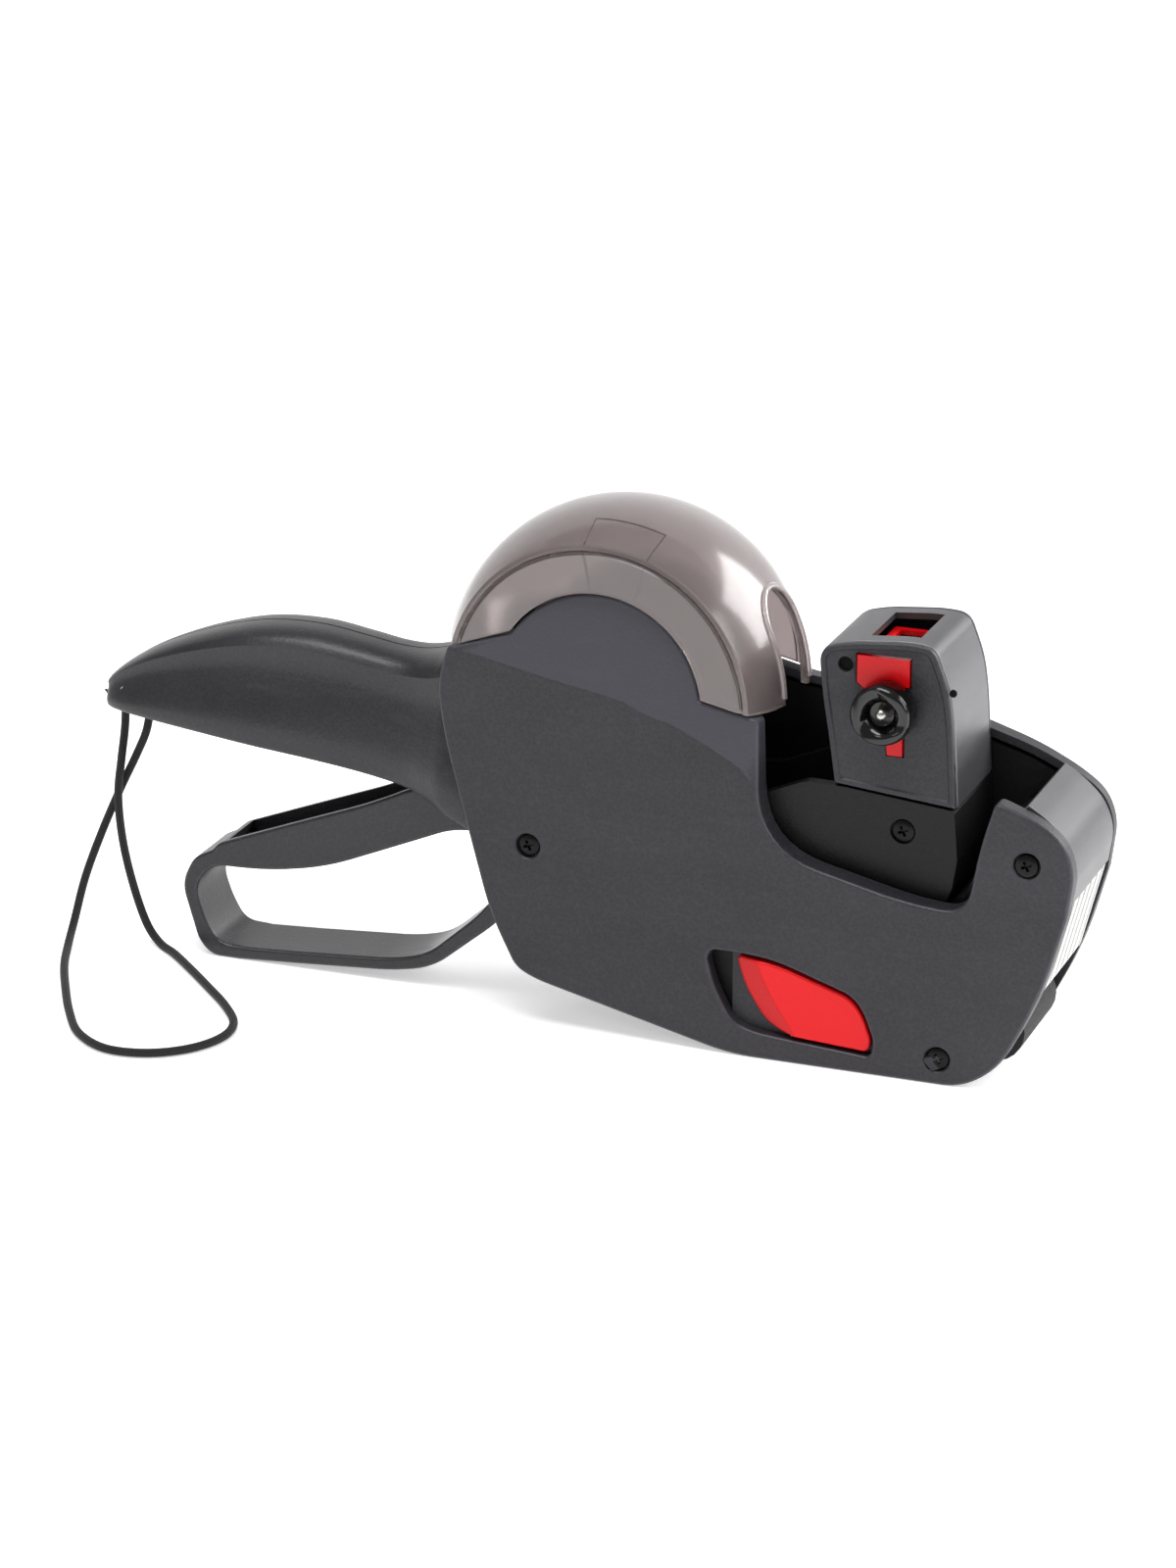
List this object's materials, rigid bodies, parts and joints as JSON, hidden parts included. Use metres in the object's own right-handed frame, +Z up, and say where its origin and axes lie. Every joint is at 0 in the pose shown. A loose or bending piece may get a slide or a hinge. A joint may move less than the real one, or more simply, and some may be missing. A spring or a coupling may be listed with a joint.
{
  "type": "price labeling gun",
  "caption": "Hand-held price labelling gun with a trigger lever, a drop-down print head, a smoked roll dome and a wrist cord.",
  "frame": {"origin": "on the table, under the middle of the gun's bounding box", "axes": "+X towards the nose, +Y to the gun's right side, +Z up"},
  "size_m": [0.262, 0.0975, 0.128],
  "materials": {
    "cover_plastic": "fine matte texture, charcoal",
    "grip_plastic": "satin moulded, dark grey",
    "frame_plastic": "moulded, black",
    "silver_plastic": "satin silver-grey",
    "pale_plastic": "pale, ribbed",
    "red_plastic": "satin red",
    "gloss_black_plastic": "glossy black",
    "steel": "plain steel",
    "smoked_plastic": "smoked translucent, polished",
    "black_rubber": "matte black rubber",
    "band_rubber": "cream rubber bands",
    "lanyard_cord": "black braided cord"
  },
  "bodies": {
    "housing": {"left_side_cover": "cover_plastic", "right_side_cover": "cover_plastic", "left_frame_plate": "frame_plastic", "right_frame_plate": "frame_plastic", "left_handle_half": "grip_plastic", "right_handle_half": "grip_plastic", "belly_plate": "frame_plastic", "nose_cover": "silver_plastic", "label_guide": "pale_plastic", "print_platen": "frame_plastic", "peel_bar": "steel", "roll_cradle": "frame_plastic", "spindle_pin": "steel", "trigger_pin": "steel", "arm_pin": "steel", "ink_arm_pin": "steel", "dome_hinge_pin": "steel", "lanyard_anchor_pin": "steel", "return_spring": "steel", "cover_screw_rear": "gloss_black_plastic", "cover_screw_front": "gloss_black_plastic", "cover_screw_lower": "gloss_black_plastic", "lanyard": "lanyard_cord"},
    "trigger": {"trigger_lever": "grip_plastic", "link_rear_pin": "steel"},
    "link": {"drive_link": "frame_plastic"},
    "arm": {"print_arm": "grip_plastic", "link_front_pin": "steel", "head_housing": "silver_plastic", "head_left_plate": "cover_plastic", "head_right_plate": "cover_plastic", "head_screw": "gloss_black_plastic", "type_anvil": "frame_plastic", "print_band_1": "band_rubber", "print_band_2": "band_rubber", "print_band_3": "band_rubber", "print_band_4": "band_rubber", "print_band_5": "band_rubber"},
    "selector": {"selector_marker": "red_plastic"},
    "knob": {"selector_knob": "gloss_black_plastic", "selector_shaft": "steel"},
    "ink_arm": {"ink_arm": "frame_plastic"},
    "ink_roller": {"ink_roller": "black_rubber"},
    "dome": {"roll_dome": "smoked_plastic"},
    "spindle": {"roll_spindle": "frame_plastic"},
    "feed_wheel": {"feed_wheel": "black_rubber"},
    "door": {"bottom_door": "cover_plastic"},
    "latch": {"latch_slide": "cover_plastic", "left_latch_button": "red_plastic", "right_latch_button": "red_plastic"},
    "front_roller": {"applicator_roller": "black_rubber"},
    "wheel_1": {"digit_wheel_1": "frame_plastic"},
    "wheel_2": {"digit_wheel_2": "frame_plastic"},
    "wheel_3": {"digit_wheel_3": "frame_plastic"},
    "wheel_4": {"digit_wheel_4": "frame_plastic"},
    "wheel_5": {"digit_wheel_5": "frame_plastic"}
  },
  "joints": [
    {"name": "trigger_squeeze", "type": "hinge", "parent": "housing", "child": "trigger", "pos_m": [0, 0, 0.047], "axis": [0, 1, 0], "range_deg": [0, 15], "stiffness_Nm_per_rad": 0.35, "springref_deg": -20.05},
    {"name": "link_swing", "type": "hinge", "parent": "trigger", "child": "link", "pos_m": [0.02, 0, 0.038], "axis": [0, 1, 0], "range_deg": [-15, 0]},
    {"name": "print_stroke", "type": "hinge", "parent": "housing", "child": "arm", "pos_m": [0.034, 0, 0.056], "axis": [0, 1, 0], "range_deg": [0, 10.5]},
    {"name": "selector_pull", "type": "slide", "parent": "arm", "child": "selector", "axis": [0, -1, 0], "range_m": [0, 0.0144]},
    {"name": "knob_turn", "type": "hinge", "parent": "selector", "child": "knob", "pos_m": [0.0795, 0, 0.089], "axis": [0, 1, 0], "continuous": true},
    {"name": "ink_swing", "type": "hinge", "parent": "housing", "child": "ink_arm", "pos_m": [0.108, 0, 0.058], "axis": [0, -1, 0], "range_deg": [0, 20.1]},
    {"name": "ink_roller_spin", "type": "hinge", "parent": "ink_arm", "child": "ink_roller", "pos_m": [0.0985, 0, 0.038], "axis": [0, 1, 0], "continuous": true},
    {"name": "dome_open", "type": "hinge", "parent": "housing", "child": "dome", "pos_m": [-0.0298, 0, 0.095], "axis": [0, -1, 0], "range_deg": [0, 95]},
    {"name": "roll_spin", "type": "hinge", "parent": "housing", "child": "spindle", "pos_m": [0.01, 0, 0.0845], "axis": [0, 1, 0], "continuous": true},
    {"name": "feed_spin", "type": "hinge", "parent": "housing", "child": "feed_wheel", "pos_m": [0.058, 0, 0.016], "axis": [0, 1, 0], "continuous": true},
    {"name": "door_open", "type": "hinge", "parent": "housing", "child": "door", "pos_m": [0.048, 0, 0.0052], "axis": [0, 1, 0], "range_deg": [0, 70]},
    {"name": "latch_release", "type": "slide", "parent": "housing", "child": "latch", "axis": [-1, 0, 0], "range_m": [0, 0.005], "stiffness_N_per_m": 200, "springref_m": -0.004},
    {"name": "front_roller_spin", "type": "hinge", "parent": "housing", "child": "front_roller", "pos_m": [0.1065, 0, 0.0126], "axis": [0, 1, 0], "continuous": true},
    {"name": "wheel_1_turn", "type": "hinge", "parent": "arm", "child": "wheel_1", "pos_m": [0.0795, 0, 0.089], "axis": [0, 1, 0], "continuous": true},
    {"name": "wheel_2_turn", "type": "hinge", "parent": "arm", "child": "wheel_2", "pos_m": [0.0795, 0, 0.089], "axis": [0, 1, 0], "continuous": true},
    {"name": "wheel_3_turn", "type": "hinge", "parent": "arm", "child": "wheel_3", "pos_m": [0.0795, 0, 0.089], "axis": [0, 1, 0], "continuous": true},
    {"name": "wheel_4_turn", "type": "hinge", "parent": "arm", "child": "wheel_4", "pos_m": [0.0795, 0, 0.089], "axis": [0, 1, 0], "continuous": true},
    {"name": "wheel_5_turn", "type": "hinge", "parent": "arm", "child": "wheel_5", "pos_m": [0.0795, 0, 0.089], "axis": [0, 1, 0], "continuous": true}
  ],
  "couplings": [
    {"joint": "link_swing", "follows": "trigger_squeeze", "ratio": -1},
    {"joint": "print_stroke", "follows": "trigger_squeeze", "ratio": 0.7},
    {"joint": "ink_swing", "follows": "trigger_squeeze", "ratio": 1.3333}
  ]
}
